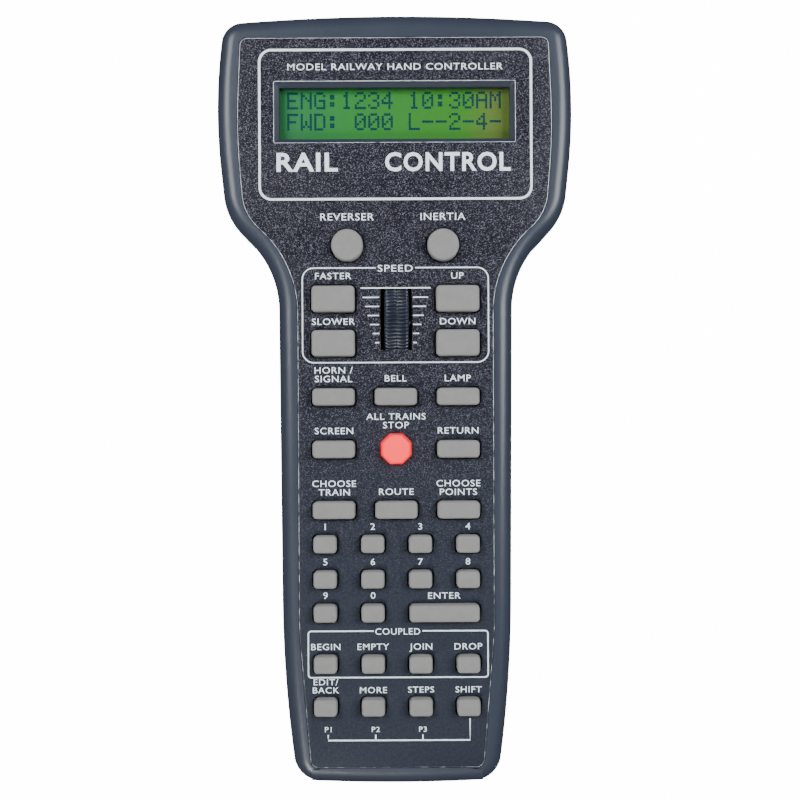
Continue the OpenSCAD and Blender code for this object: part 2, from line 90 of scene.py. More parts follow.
# ---- Outlines: closed loops whose corners are (x, y, radius, facets) ----

def heading(a, b):
    return Vector((b[0] - a[0], b[1] - a[1])).normalized()


def inwards(d):
    return Vector((-d.y, d.x))


def crown(corner, side, rise, share=0.85, facets=16):
    """The corner in the middle of an end that bulges by rise, curved over a share of its width."""
    slope = rise / (corner[0] * (1 - share / 2))
    return (0, corner[1] + side * corner[0] * slope, share * corner[0] / slope, facets)


def mirrored(right):
    """A whole outline from its right half, listed from the bottom up."""
    return right + [(-x, y, r, f) for x, y, r, f in reversed(right) if x > 0]


def turns(loop):
    """Each corner with the directions of the edges before and after it."""
    for i, c in enumerate(loop):
        u, v = heading(loop[i - 1], c), heading(c, loop[(i + 1) % len(loop)])
        yield c, u, v, u.x * v.y - u.y * v.x


def inset(loop, d):
    """The loop moved inwards by d, with its corner radii changed to match."""
    moved = []
    for c, u, v, cross in turns(loop):
        shift = (inwards(u) + inwards(v)) * (d / (1 + u.dot(v)))
        radius = max(0.05, c[2] - math.copysign(d, d * cross) if cross else c[2])
        moved.append((c[0] + shift.x, c[1] + shift.y, radius, c[3]))
    return moved


def rounded(loop):
    """The points of a loop, with every corner turned into an arc."""
    points = []
    for c, u, v, cross in turns(loop):
        turn = math.atan2(cross, u.dot(v))
        to_centre = inwards(u) * math.copysign(c[2], turn)
        centre = Vector(c[:2]) - u * c[2] * math.tan(abs(turn) / 2) + to_centre
        for k in range(c[3] + 1):
            points.append(centre + Matrix.Rotation(turn * k / c[3], 2) @ -to_centre)
    return points


def block(w, h, r, x=0.0, y=0.0, facets=8):
    corners = [(1, -1), (1, 1), (-1, 1), (-1, -1)]
    return [(x + s * w / 2, y + t * h / 2, r, facets) for s, t in corners]


def octagon(flats, x, y, r=0.35):
    reach = flats / 2 / math.cos(math.pi / 8)
    angles = [math.pi / 8 + k * math.pi / 4 for k in range(8)]
    return [(x + reach * math.cos(a), y + reach * math.sin(a), r, 4) for a in angles]


def quarter(x, z, r, rise, facets):
    """Quarter of an ellipse as (inset, height) points."""
    angles = [math.pi / 2 * k / facets for k in range(facets + 1)]
    return [(x + r * (1 - math.cos(a)), z + rise * math.sin(a)) for a in angles]


TOP = (HEAD_X - 1.8, HALF_LEN - 1.9, 6, 18)
BOTTOM = (HANDLE_X - 4.3, -HALF_LEN + 0.8, 7.5, 18)
BODY = mirrored([
    crown(BOTTOM, -1, 0.8), BOTTOM, (HANDLE_X - 0.7, -75.5, 340, 10),
    (HANDLE_X + 0.1, 34.9, 26, 16), (HEAD_X - 2.3, 48.9, 17.5, 16), (HEAD_X + 0.9, 79, 150, 14),
    TOP, crown(TOP, 1, 1.9)])
FILM_TOP = (HEAD_X - 6.75, 96.7, 2, 18)
FILM_BOTTOM = (HANDLE_X - 8.4, -98.4, 2.2, 18)
FILM = mirrored([
    crown(FILM_BOTTOM, -1, 0.02), FILM_BOTTOM, (HANDLE_X - 5.4, -62, 100, 10),
    (HANDLE_X - 5.3, 36.2, 30, 16), (HEAD_X - 7.45, 49.7, 13.5, 16),
    (HEAD_X - 5.65, 72, 150, 14), FILM_TOP, crown(FILM_TOP, 1, 0.02)])


# ---- Meshes ----

def rings_mesh(bm, rings, caps=True, closed=False):
    """Faces between rings of equal length, in millimetres, then end caps or a join to the first."""
    rows = [[bm.verts.new(Vector(p) * MM) for p in ring] for ring in rings]
    chain = rows + rows[:1] if closed else rows
    for a, b in zip(chain, chain[1:]):
        for i in range(len(a)):
            k = (i + 1) % len(a)
            bm.faces.new((a[i], a[k], b[k], b[i]))
    if caps and not closed:
        bm.faces.new(list(reversed(rows[0])))
        bm.faces.new(rows[-1])


def flat_ring(loop, z):
    return [(p.x, p.y, z) for p in rounded(loop)]


def prism(bm, loop, low, high):
    rings_mesh(bm, [flat_ring(loop, low), flat_ring(loop, high)])


def box_mesh(bm, low, high):
    (x0, y0, z0), (x1, y1, z1) = low, high
    ring = [(x0, y0), (x1, y0), (x1, y1), (x0, y1)]
    rings_mesh(bm, [[(x, y, z) for x, y in ring] for z in (z0, z1)])


def lathe(bm, profile, centre, axis="Z", segments=48, ring=False):
    """A profile of (radius, height) points turned round an axis through centre."""
    rings = []
    for r, h in profile:
        circle = []
        for k in range(segments):
            a = 2 * math.pi * k / segments
            p = (r * math.cos(a), r * math.sin(a), h)
            circle.append(Vector(p if axis == "Z" else (p[2], p[0], p[1])) + Vector(centre))
        rings.append(circle)
    rings_mesh(bm, rings, closed=ring)


def tube(bm, x, y, inner, outer, low, high):
    lathe(bm, [(inner, low), (outer, low), (outer, high), (inner, high)], (x, y, 0), ring=True)


def link_new(name, data):
    obj = bpy.data.objects.new(name, data)
    bpy.context.scene.collection.objects.link(obj)
    return obj


def make(name, bm, materials, body, replaces=(), sharp=32.0):
    """An object from bm, smooth except at sharp edges, that rides on a body if one is named."""
    bmesh.ops.recalc_face_normals(bm, faces=bm.faces)
    for f in bm.faces:
        f.smooth = True
    for e in bm.edges:
        e.smooth = len(e.link_faces) == 2 and e.calc_face_angle(0.0) < math.radians(sharp)
    mesh = bpy.data.meshes.new(name)
    bm.to_mesh(mesh)
    bm.free()
    for m in materials:
        mesh.materials.append(m)
    obj = link_new(name, mesh)
    if body:
        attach(obj, body)
    if replaces:
        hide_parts(*replaces)
    return obj


def append(bm, other):
    """Adds a copy of other to bm, and frees other."""
    mesh = bpy.data.meshes.new("part")
    other.to_mesh(mesh)
    other.free()
    bm.from_mesh(mesh)


def cut(bm, cutter):
    """bm less cutter, both closed."""
    parts = [make(n, b, [], None) for n, b in (("cut_from", bm), ("cut_by", cutter))]
    modifier = parts[0].modifiers.new("cut", "BOOLEAN")
    modifier.operation, modifier.solver, modifier.object = "DIFFERENCE", "EXACT", parts[1]
    evaluated = parts[0].evaluated_get(bpy.context.evaluated_depsgraph_get())
    result = bmesh.new()
    result.from_mesh(evaluated.to_mesh())
    for p in parts:
        bpy.data.objects.remove(p)
    bmesh.ops.remove_doubles(result, verts=result.verts, dist=1e-7)
    return result


def outline_mesh(loops, low, high, edge):
    """A plate from z low to high inside the first outline and outside the rest, edges bevelled."""
    curve = bpy.data.curves.new("plate", "CURVE")
    curve.dimensions, curve.fill_mode = "2D", "BOTH"
    curve.extrude = ((high - low) / 2 - edge) * MM
    curve.bevel_depth, curve.bevel_resolution, curve.offset = edge * MM, 1, -edge * MM
    for points in loops:
        spline = curve.splines.new("POLY")
        spline.points.add(len(points) - 1)
        for p, q in zip(spline.points, points):
            p.co = (q[0] * MM, q[1] * MM, 0, 1)
        spline.use_cyclic_u = True
    return curve_mesh(curve, Vector((0, 0, (high + low) / 2)))


def curve_mesh(curve, move, weld=1e-7):
    """The mesh of a curve, its points closer than weld joined, moved by move millimetres."""
    holder = link_new("curve", curve)
    evaluated = holder.evaluated_get(bpy.context.evaluated_depsgraph_get())
    bm = bmesh.new()
    bm.from_mesh(evaluated.to_mesh())
    bpy.data.objects.remove(holder)
    bmesh.ops.remove_doubles(bm, verts=bm.verts, dist=weld)
    bmesh.ops.translate(bm, verts=bm.verts, vec=move * MM)
    return bm


# ---- Materials ----

class Finish:
    """A procedural material on one Principled shader, and helpers that add its texture nodes."""

    def __init__(self, name, colour, roughness, **inputs):
        self.material = bpy.data.materials.new(name)
        self.material.use_nodes = True
        self.tree = self.material.node_tree
        self.shader = self.tree.nodes["Principled BSDF"]
        self.colour = colour
        self.shader.inputs["Base Color"].default_value = (*colour, 1)
        self.shader.inputs["Roughness"].default_value = roughness
        for key, value in inputs.items():
            self.shader.inputs[key.replace("_", " ")].default_value = value
        self.place = self.node("ShaderNodeTexCoord").outputs["Object"]

    def node(self, kind, **values):
        n = self.tree.nodes.new(kind)
        for key, value in values.items():
            if key in n.inputs:
                n.inputs[key].default_value = value
            else:
                setattr(n, key, value)
        return n

    def link(self, a, b):
        self.tree.links.new(a, b)
        return self

    def noise(self, scale, detail=3.0, stretch=(1, 1, 1)):
        mapped = self.node("ShaderNodeMapping")
        mapped.inputs["Scale"].default_value = stretch
        n = self.node("ShaderNodeTexNoise", Scale=scale, Detail=detail, Roughness=0.6)
        self.link(self.place, mapped.inputs["Vector"]).link(mapped.outputs[0], n.inputs["Vector"])
        return n.outputs["Fac"]

    def ramp(self, source, stops):
        r = self.node("ShaderNodeValToRGB")
        while len(r.color_ramp.elements) < len(stops):
            r.color_ramp.elements.new(0.5)
        for element, (where, colour) in zip(r.color_ramp.elements, stops):
            element.position = where
            element.color = (*colour, 1)
        self.link(source, r.inputs["Fac"])
        return r.outputs["Color"]

    def along(self, axis):
        """The place along X, Y or Z, in metres."""
        split = self.node("ShaderNodeSeparateXYZ")
        self.link(self.place, split.inputs[0])
        return split.outputs[axis]

    def spread(self, source, low, high):
        """0 to 1 as the source goes from low to high."""
        r = self.node("ShaderNodeMapRange")
        r.inputs["From Min"].default_value, r.inputs["From Max"].default_value = low, high
        self.link(source, r.inputs["Value"])
        return r.outputs[0]

    def scaled_sum(self, source, factor, added):
        """The source times a factor, plus what is added."""
        r = self.node("ShaderNodeMath", operation="MULTIPLY_ADD")
        r.inputs[1].default_value = factor
        self.link(source, r.inputs[0]).link(added, r.inputs[2])
        return r.outputs[0]

    def mottle(self, scale, amount, stretch=(1, 1, 1)):
        """Patches a little darker and lighter than the colour."""
        dark, light = (tuple(min(1.0, c * f) for c in self.colour)
                       for f in (1 - amount, 1 + amount))
        shade = self.ramp(self.noise(scale, 4.0, stretch), [(0.32, dark), (0.68, light)])
        return self.link(shade, self.shader.inputs["Base Color"])

    def wear(self, scale, low, high):
        """Patches with a roughness between low and high."""
        r = self.node("ShaderNodeMapRange")
        r.inputs["To Min"].default_value, r.inputs["To Max"].default_value = low, high
        self.link(self.noise(scale), r.inputs["Value"])
        return self.link(r.outputs[0], self.shader.inputs["Roughness"])

    def grain(self, scale, depth, stretch=(1, 1, 1)):
        """A bumpy surface, depth millimetres deep."""
        bump = self.node("ShaderNodeBump", Strength=1.0, Distance=depth * MM)
        self.link(self.noise(scale, 2.0, stretch), bump.inputs["Height"])
        return self.link(bump.outputs[0], self.shader.inputs["Normal"])


def case_finish():
    """Satin moulded shell: fine spark-eroded grain, faint flow marks and polish from handling."""
    f = Finish("case_plastic", (0.03, 0.037, 0.055), 0.34, Specular_IOR_Level=0.5)
    return f.mottle(55, 0.07, (1, 0.35, 1)).wear(38, 0.28, 0.4).grain(5200, 0.012).material


def film_finish():
    """Printed film with a fine texture: soft mottling at the cord end, and painted glints as pale
    speckles at the other.
    """
    f = Finish("overlay_film", (0.034, 0.037, 0.05), 0.55, Specular_IOR_Level=0.16)
    cells = f.node("ShaderNodeTexVoronoi", Scale=5600.0)
    f.link(f.place, cells.inputs["Vector"])
    channel = f.node("ShaderNodeSeparateColor")
    f.link(cells.outputs["Color"], channel.inputs[0])
    # The pale speckle colour is a painted glint, standing in for light caught by the film's texture.
    ground, light = (0.005, 0.005, 0.011), (0.155, 0.16, 0.2)
    painted_glints = f.ramp(channel.outputs[0], [(0.0, ground), (0.72, ground), (1.0, light)])
    soft_stops = [(0.3, (0.016, 0.019, 0.03)), (0.7, (0.025, 0.031, 0.045))]
    soft = f.ramp(f.noise(1500, 2.0), soft_stops)
    # The painted glints fade out along Y towards the cord end.
    glint_fade = f.node("ShaderNodeMix", data_type="RGBA")
    f.link(f.spread(f.along("Y"), -0.06, 0.02), glint_fade.inputs["Factor"])
    f.link(soft, glint_fade.inputs[6]).link(painted_glints, glint_fade.inputs[7])
    f.link(glint_fade.outputs[2], f.shader.inputs["Base Color"])
    return f.grain(4200, 0.014).material


def film_edge_finish():
    """The film's bare cut edge, with a painted highlight: pale round the display, and fading unevenly
    down the handle.
    """
    f = Finish("film_edge", (0.5, 0.55, 0.6), 0.35)
    # The pale stops are a painted highlight on the cut edge, which fades to dark further down.
    stops = [(0.38, (0.1, 0.11, 0.13)), (0.5, (0.55, 0.6, 0.65)), (0.66, (0.9, 0.93, 0.98))]
    highlight_fade = f.scaled_sum(f.along("Y"), 1.2, f.noise(420))
    f.link(f.ramp(highlight_fade, stops), f.shader.inputs["Base Color"])
    return f.grain(3000, 0.02).material


def rubber_finish(name, colour, **inputs):
    """Matte silicone: fine grain, a soft sheen and slight unevenness of tone."""
    f = Finish(name, colour, 0.72, Specular_IOR_Level=0.3, Sheen_Weight=0.12,
               Sheen_Roughness=0.5, **inputs)
    return f.mottle(420, 0.045).grain(3600, 0.01).material


def ink_finish():
    """Screen-printed ink: pale and slightly patchy."""
    f = Finish("print_ink", (0.84, 0.92, 1.0), 0.5)
    return f.mottle(2600, 0.06).grain(5000, 0.004).material


def glass_finish():
    """Green display: bluer at its left end, and brownish at its right end, where a reflection is
    painted.
    """
    f = Finish("display_green", (0.02, 0.18, 0.01), 0.3, Specular_IOR_Level=0.3,
               Coat_Weight=0.15, Coat_Roughness=0.1)
    across = f.scaled_sum(f.noise(60, 2.0), 0.16, f.spread(f.along("X"), -0.032, 0.032))
    # The last stop is a painted reflection: a brownish tint at the right end of the display.
    stops = [(0.06, (0.02, 0.14, 0.05)), (0.35, (0.024, 0.175, 0.035)),
             (0.85, (0.035, 0.18, 0.02)), (1.0, (0.09, 0.14, 0.028))]
    f.link(f.ramp(across, stops), f.shader.inputs["Base Color"])
    return f.grain(1800, 0.003).material


def metal_finish(name, colour, roughness, stretch=(1, 1, 1)):
    """Bare or plated metal, its grain stretched where it is rolled."""
    f = Finish(name, colour, roughness, Metallic=1.0)
    return f.mottle(900, 0.08, stretch).grain(2500, 0.006, stretch).material


def plain_finish(name, colour, roughness, mottle=0.08, scale=300, depth=0.008, **inputs):
    """One colour, slightly mottled, with a grain nine times as fine as the mottling."""
    f = Finish(name, colour, roughness, **inputs)
    return f.mottle(scale, mottle).grain(scale * 9, depth).material


def board_finish():
    """Solder mask over copper, whose tracks show as slightly lighter bands."""
    f = Finish("circuit_board", (0.012, 0.09, 0.035), 0.3, Coat_Weight=0.4)
    brick = f.node("ShaderNodeTexBrick", Scale=180.0)
    for key, colour in (("Color1", (0.01, 0.08, 0.03)), ("Color2", (0.014, 0.1, 0.04)),
                        ("Mortar", (0.03, 0.16, 0.06))):
        brick.inputs[key].default_value = (*colour, 1)
    f.link(f.place, brick.inputs["Vector"])
    f.link(brick.outputs["Color"], f.shader.inputs["Base Color"])
    return f.grain(1500, 0.01).material


CASE = case_finish()
FILM_MAT = film_finish()
FILM_EDGE_HIGHLIGHT = film_edge_finish()
RUBBER = rubber_finish("key_rubber", (0.2, 0.2, 0.192))
# The red key's emission is a painted glow: it glows though it is no lamp.
GLOWING_STOP_RUBBER = rubber_finish("stop_rubber", (0.9, 0.03, 0.04), Emission_Color=(1, 0.02, 0.03, 1),
                            Emission_Strength=1.0)
CARBON = plain_finish("carbon_pill", (0.015, 0.015, 0.015), 0.7)
INK = ink_finish()
GLASS = glass_finish()
DOTS = plain_finish("display_dots", (0.002, 0.034, 0.045), 0.6, Specular_IOR_Level=0.1)
WHEEL = plain_finish("wheel_plastic", (0.012, 0.016, 0.028), 0.3, 0.15, 500, 0.01)
BLACK = plain_finish("black_plastic", (0.012, 0.012, 0.014), 0.42)
DARK_STEEL = metal_finish("dark_steel", (0.1, 0.1, 0.11), 0.38)
SLOTS = {
    "case_plastic": CASE, "overlay_film": FILM_MAT,
    "key_rubber": RUBBER, "stop_rubber": GLOWING_STOP_RUBBER,
    "circuit_board": board_finish(),
    "contact_metal": metal_finish("contact_metal", (0.85, 0.6, 0.24), 0.25, (1, 8, 1)),
    "chip_plastic": plain_finish("chip_plastic", (0.018, 0.018, 0.02), 0.55),
    "chip_ceramic": plain_finish("chip_ceramic", (0.45, 0.36, 0.25), 0.5),
    "bright_metal": metal_finish("bright_metal", (0.5, 0.5, 0.5), 0.35),
    "capacitor_sleeve": plain_finish("capacitor_sleeve", (0.02, 0.03, 0.09), 0.3),
    "blue_plastic": plain_finish("blue_plastic", (0.04, 0.13, 0.36), 0.4),
    "black_plastic": BLACK,
    "black_metal": plain_finish("black_metal", (0.012, 0.012, 0.014), 0.35),
    "lcd_green": GLASS,
    "diffuser_plastic": plain_finish("diffuser_plastic", (0.55, 0.7, 0.4), 0.3),
    "ribbon_plastic": plain_finish("ribbon_plastic", (0.45, 0.45, 0.45), 0.5),
    "screw_steel": metal_finish("screw_steel", (0.55, 0.55, 0.56), 0.32),
    "dark_steel": DARK_STEEL,
}
for part in frame["record"]["subparts"]:
    data = frame["nodes"][part["node"]].data
    data.materials.clear()
    data.materials.append(SLOTS[part["material_slot"]])


# ---- Keys ----

def key_place(node):
    """Centre, width, length, bottom and top of a key above its flange, in millimetres."""
    low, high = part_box(node)
    centre, size = (low + high) / 2 / MM, (high - low) / MM
    return centre.x, centre.y, size.x - 2 * KEY_LIP, size.y - 2 * KEY_LIP, low.z / MM, high.z / MM


def key_loop(node, grow=0.0):
    """The outline of a key, made larger by grow."""
    x, y, w, h = key_place(node)[:4]
    if node in ("key_direction", "key_momentum"):
        loop = block(w, h, w / 2, x, y, 20)
    elif node == "key_emergency_stop":
        loop = octagon(w, x, y)
    else:
        loop = block(w, h, 1.1, x, y)
    return inset(loop, -grow)


KEYS = [b for b in frame["bodies"] if b.startswith("key_")]
PILL_INSET, PILL_H = 1.2, 0.3
PLUNGER_INSET, PLUNGER_H, FLANGE_H = 0.9, 1.0, 1
CAP_EDGE, CAP_SAG = 0.62, 0.06


def build_key(node):
    """A moulded key: carbon pill, plunger, flange under the panel, and a rounded, domed cap."""
    bottom, top = key_place(node)[4:]
    outline = key_loop(node)
    flange = bottom + (PILL_H + PLUNGER_H)
    profile = [(PILL_INSET, bottom), (PILL_INSET, bottom + PILL_H),
               (PLUNGER_INSET, bottom + PILL_H), (PLUNGER_INSET, flange), (-KEY_LIP, flange),
               (-KEY_LIP, flange + FLANGE_H), (0, flange + FLANGE_H)]
    profile += quarter(0, top - CAP_EDGE - CAP_SAG, CAP_EDGE, CAP_EDGE, 7)
    profile += [(1.1, top - CAP_SAG / 2), (1.8, top)]
    bm = bmesh.new()
    rings_mesh(bm, [flat_ring(inset(outline, d), z) for d, z in profile])
    for f in bm.faces:
        f.material_index = int(f.calc_center_median().z < (bottom + 0.9 * PILL_H) * MM)
    stop = node == "key_emergency_stop"
    make("soft_" + node, bm, [GLOWING_STOP_RUBBER if stop else RUBBER, CARBON], node,
         [node], 40)


for key in KEYS:
    build_key(key)


# ---- Case ----

def both_sides(places):
    return [(side * x, y) for x, y in places for side in (-1, 1)]


def window_ring(size, z):
    return flat_ring(block(*size, WINDOW_R, 0, WINDOW_Y, 3), z)


def widened(size, margin):
    return size[0] + 2 * margin, size[1] + 2 * margin


wheel_low, wheel_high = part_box("thumbwheel")
wheel_centre = (wheel_low + wheel_high) / 2 / MM
jack_low, jack_high = (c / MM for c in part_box("cord_jack"))
MOUTH = widened(WINDOW, WINDOW_SLOPE)


def jack_cutter(bm):
    """The notch for the cord socket at the end of both shells."""
    box_mesh(bm, (jack_low.x - JACK_GAP, -HALF_LEN - 1, jack_low.z - JACK_GAP),
             (jack_high.x + JACK_GAP, -HALF_LEN + 3, jack_high.z + JACK_GAP))


def build_front():
    """The front shell, open below, with its panel recess, window and holes."""
    inner = FRONT_ROUND - WALL
    lap, lap_top = GROOVE[0], SEAM_Z + GROOVE[1]
    profile = quarter(WALL, PLATE_Z - inner, inner, inner, 5)[::-1]
    profile += [(WALL, lap_top), (lap, lap_top), (lap, SEAM_Z)]
    profile += [(d, SEAM_Z + z) for d, z in SEAM_EDGE]
    profile += quarter(0, FACE_Z - FRONT_ROUND, FRONT_ROUND, FRONT_ROUND, 16)
    rings = [flat_ring(inset(BODY, d), z) for d, z in profile]
    recess = inset(FILM, -OVERLAY_GAP)
    rings += [flat_ring(recess, FACE_Z), flat_ring(recess, RECESS_Z)]
    shell, cutter = bmesh.new(), bmesh.new()
    rings_mesh(shell, rings)
    for key in KEYS:
        prism(cutter, key_loop(key, KEY_GAP), PLATE_Z - 1, FACE_Z + 2)
    steps = [(WINDOW, BEZEL_TOP - 1), (WINDOW, RECESS_Z - WINDOW_SLOPE),
             (MOUTH, RECESS_Z), (MOUTH, FACE_Z + 1)]
    rings_mesh(cutter, [window_ring(size, z) for size, z in steps])
    ends = [(SLOT_R, SLOT_X - SLOT_W / 2), (SLOT_R, SLOT_X + SLOT_W / 2)]
    lathe(cutter, ends, (0, wheel_centre.y, wheel_centre.z), "X", 160)
    jack_cutter(cutter)
    make("front_case", cut(shell, cutter), [CASE], "case", ["front_shell"])


def build_rear():
    """The rear shell, open above, with its tongue, screw sinks and shallow label recess."""
    inner = REAR_ROUND - WALL
    lap, lap_top = TONGUE[0], SEAM_Z + TONGUE[1]
    profile = [(x, REAR_ROUND - z) for x, z in quarter(0, 0, REAR_ROUND, REAR_ROUND, 12)][::-1]
    profile += [(d, SEAM_Z - z) for d, z in reversed(SEAM_EDGE)]
    profile += [(lap, SEAM_Z), (lap, lap_top), (WALL, lap_top)]
    profile += [(x, REAR_ROUND - z) for x, z in quarter(WALL, 0, inner, inner, 4)]
    shell, cutter = bmesh.new(), bmesh.new()
    rings_mesh(shell, [flat_ring(inset(BODY, d), z) for d, z in profile])
    wide, edge_low = SINK_R + SINK_EDGE, -0.01
    for x, y in both_sides(CASE_HOLES):
        lathe(cutter, [(wide, -1), (wide, edge_low), (SINK_R, edge_low + SINK_EDGE), (SINK_R, 3)],
              (x, y, 0))
    prism(cutter, block(*LABEL, 2, 0, LABEL_Y), -1, LABEL_DEPTH)
    jack_cutter(cutter)
    make("rear_case", cut(shell, cutter), [CASE], "case", ["rear_shell"])


def build_bosses():
    """The tubes and rims inside the shells."""
    bm = bmesh.new()
    low, rim_r, rim_top = WALL - OVERLAP, SINK_R + SINK_RIM, SINK_Z + SINK_RIM
    for x, y in both_sides(CASE_HOLES):
        lathe(bm, [(SINK_R, low), (rim_r, low), (rim_r, rim_top), (BOSS_R, rim_top),
                   (BOSS_R, SEAM_Z), (SCREW_HOLE_R, SEAM_Z), (SCREW_HOLE_R, SINK_Z),
                   (SINK_R, SINK_Z)], (x, y, 0), ring=True)
        tube(bm, x, y, PILOT_R, BOSS_R, SEAM_Z + OVERLAP, BOSS_TOP)
    for x, y in both_sides(BOARD_HOLES):
        tube(bm, x, y, POST_HOLE_R, BOARD_POST_R, BOARD_TOP, BOSS_TOP)
    for x, dy in both_sides(LCD_HOLES):
        tube(bm, x, WINDOW_Y + dy, POST_HOLE_R, LCD_POST_R, LCD_TOP, BOSS_TOP)
    rim_low, rim_size = BEZEL_TOP + 0.1, widened(WINDOW, WINDOW_RIM)
    rim = [(WINDOW, rim_low), (rim_size, rim_low), (rim_size, BOSS_TOP), (WINDOW, BOSS_TOP)]
    rings_mesh(bm, [window_ring(size, z) for size, z in rim], closed=True)
    make("case_fittings", bm, [CASE], "case")


build_front()
build_rear()
build_bosses()


# ---- Overlay and its print ----

def build_overlay():
    """The panel film: printed on top, bare where its outer edge is cut, with a painted highlight on
    that cut edge.
    """
    slot_half = math.sqrt(SLOT_R ** 2 - (FACE_Z - wheel_centre.z) ** 2)
    slot = block(SLOT_W, 2 * slot_half, 0.2, SLOT_X, wheel_centre.y, 3)
    holes = [key_loop(k, KEY_GAP) for k in KEYS] + [slot]
    loops = [FILM] + holes + [block(*MOUTH, 0.3, 0, WINDOW_Y, 3)]
    bm = outline_mesh([rounded(loop) for loop in loops], RECESS_Z, FACE_Z, FILM_BEVEL)
    boxes = [[f([c[i] for c in h]) for i in (0, 1) for f in (min, max)] for h in holes]
    for f in bm.faces:
        c = f.calc_center_median() / MM
        near_hole = any(x0 - 1 < c.x < x1 + 1 and y0 - 1 < c.y < y1 + 1
                        for x0, x1, y0, y1 in boxes)
        sloping = abs(f.normal.z) < 0.95
        # Sloping faces away from the key holes get the painted edge highlight.
        f.material_index = int(sloping and not near_hole)
    make("panel_film", bm, [FILM_MAT, FILM_EDGE_HIGHLIGHT], "case", ["panel_overlay"])


INK_LOW, INK_HIGH = FACE_Z - 0.01, FACE_Z + 0.02
FONT_CAP, FONT_WIDEN = 0.755, 1.12  # height of the built-in capitals, and their widening
LINE_STEP, LEGEND_SCALE = 1.28, 1.04  # of the cap height
PANEL_LINE, GROUP_LINE, STEPS_LINE, TICK_LINE, BRACKET_LINE = 0.65, 0.34, 0.38, 0.3, 0.4
TICKS, TICK_TOP, TICK_PITCH = 6, 27.25, 2.42
BRACKET_Y, BRACKET_TIP, BRACKET_END = -91.1, -89.6, (19.4, -85.3)
PLACES = [(-18.5, "P1"), (-5.8, "P2"), (6.8, "P3")]


def ribbon(bm, path, width, closed=False):
    """A flat printed line along a path."""
    rings = []
    for i, p in enumerate(path):
        before = path[i - 1] if i or closed else p
        after = path[(i + 1) % len(path)] if i + 1 < len(path) or closed else p
        side = inwards(heading(before, after)) * (width / 2)
        a, b = Vector(p) + side, Vector(p) - side
        rings.append([(*a, INK_LOW), (*a, INK_HIGH), (*b, INK_HIGH), (*b, INK_LOW)])
    rings_mesh(bm, rings, closed=closed)


def broken_frame(bm, w, h, r, x, y, width, gap):
    """A rounded frame whose top line is open over gap in the middle."""
    loop = [tuple(p) for p in rounded(block(w, h, r, x, y, 8))]
    turn = next(i for i, p in enumerate(loop) if p[1] > y + h / 2 - 0.001 and p[0] < x)
    ends = [(x - gap / 2, y + h / 2), (x + gap / 2, y + h / 2)]
    ribbon(bm, ends[:1] + loop[turn:] + loop[:turn] + ends[1:], width)


def words(bm, text, x, y, cap, width=None, weight=0.01):
    """A line of capitals centred on (x, y), cap high, and width wide if that is given."""
    curve = bpy.data.curves.new("words", "FONT")
    curve.body, curve.size, curve.resolution_u = text, 1.0, 3
    curve.offset, curve.extrude, curve.space_character = weight * 0.5, 0.01, 1.1
    drawn = curve_mesh(curve, Vector(), 1e-4)
    xs = [v.co.x for v in drawn.verts]
    tall = cap / FONT_CAP
    across = width / (max(xs) - min(xs)) if width else tall * FONT_WIDEN
    middle = (max(xs) + min(xs)) / 2
    for v in drawn.verts:
        v.co = Vector((x + (v.co.x - middle) * across, y + (v.co.y - FONT_CAP / 2) * tall,
                       INK_HIGH if v.co.z > 0 else INK_LOW)) * MM
    append(bm, drawn)


def build_frames():
    """The lines round the display and the groups of keys, the wheel's scale and the bracket."""
    bm = bmesh.new()
    panel = rounded(block(72.6, 39.9, 3.2, 0.2, 73.5, 10))
    ribbon(bm, [tuple(p) for p in panel], PANEL_LINE, True)
    broken_frame(bm, 49.7, 25.3, 3, 0, 22.5, GROUP_LINE, 10.6)
    broken_frame(bm, 48, 12.4, 0.8, 0.3, -68.1, STEPS_LINE, 13)
    ribbon(bm, [(-9.3, 29.75), (9.4, 29.75)], GROUP_LINE)
    for i in range(TICKS):
        y = TICK_TOP - TICK_PITCH * i
        ribbon(bm, [(-8.75 + 0.66 * i, y), (-4.35, y)], TICK_LINE)
        ribbon(bm, [(4.7, y), (8.75 - 0.61 * i, y)], TICK_LINE)
    (first, _), *others = PLACES
    ribbon(bm, [(first, BRACKET_TIP), (first, BRACKET_Y), (BRACKET_END[0], BRACKET_Y),
                BRACKET_END], BRACKET_LINE)
    for x, _ in others:
        ribbon(bm, [(x, BRACKET_Y + 0.15), (x, BRACKET_TIP)], BRACKET_LINE)
    make("print_lines", bm, [INK], "case")


LEGENDS = [  # key, lines of text, height above the middle of the key, cap height
    ("key_direction", ["REVERSER"], 7.8, 2.0), ("key_momentum", ["INERTIA"], 7.8, 2.0),
    ("key_speed_up_fast", ["FASTER"], 6.3, 1.8), ("key_speed_up", ["UP"], 6.3, 1.8),
    ("key_speed_down_fast", ["SLOWER"], 5.9, 1.8), ("key_speed_down", ["DOWN"], 5.9, 1.8),
    ("key_horn", ["HORN /", "SIGNAL"], 4.9, 1.8), ("key_bell", ["BELL"], 5.0, 1.8),
    ("key_headlight", ["LAMP"], 5.0, 1.8), ("key_option", ["SCREEN"], 5.0, 1.8),
    ("key_emergency_stop", ["ALL TRAINS", "STOP"], 6.5, 1.8),
    ("key_recall", ["RETURN"], 5.0, 1.8),
    ("key_select_loco", ["CHOOSE", "TRAIN"], 4.8, 1.8), ("key_macro", ["ROUTE"], 4.9, 1.8),
    ("key_select_accessory", ["CHOOSE", "POINTS"], 4.8, 1.8),
    ("key_setup", ["BEGIN"], 4.6, 1.75), ("key_clear", ["EMPTY"], 4.6, 1.75),
    ("key_add", ["JOIN"], 4.6, 1.75), ("key_delete", ["DROP"], 4.6, 1.75),
    ("key_program", ["EDIT/", "BACK"], 4.4, 1.7), ("key_expand", ["MORE"], 4.4, 1.7),
    ("key_steps", ["STEPS"], 4.5, 1.7), ("key_shift", ["SHIFT"], 4.5, 1.7),
    ("key_enter", ["ENTER"], 4.6, 1.8),
] + [("key_%d" % n, [str(n)], 4.7, 1.8) for n in range(10)]


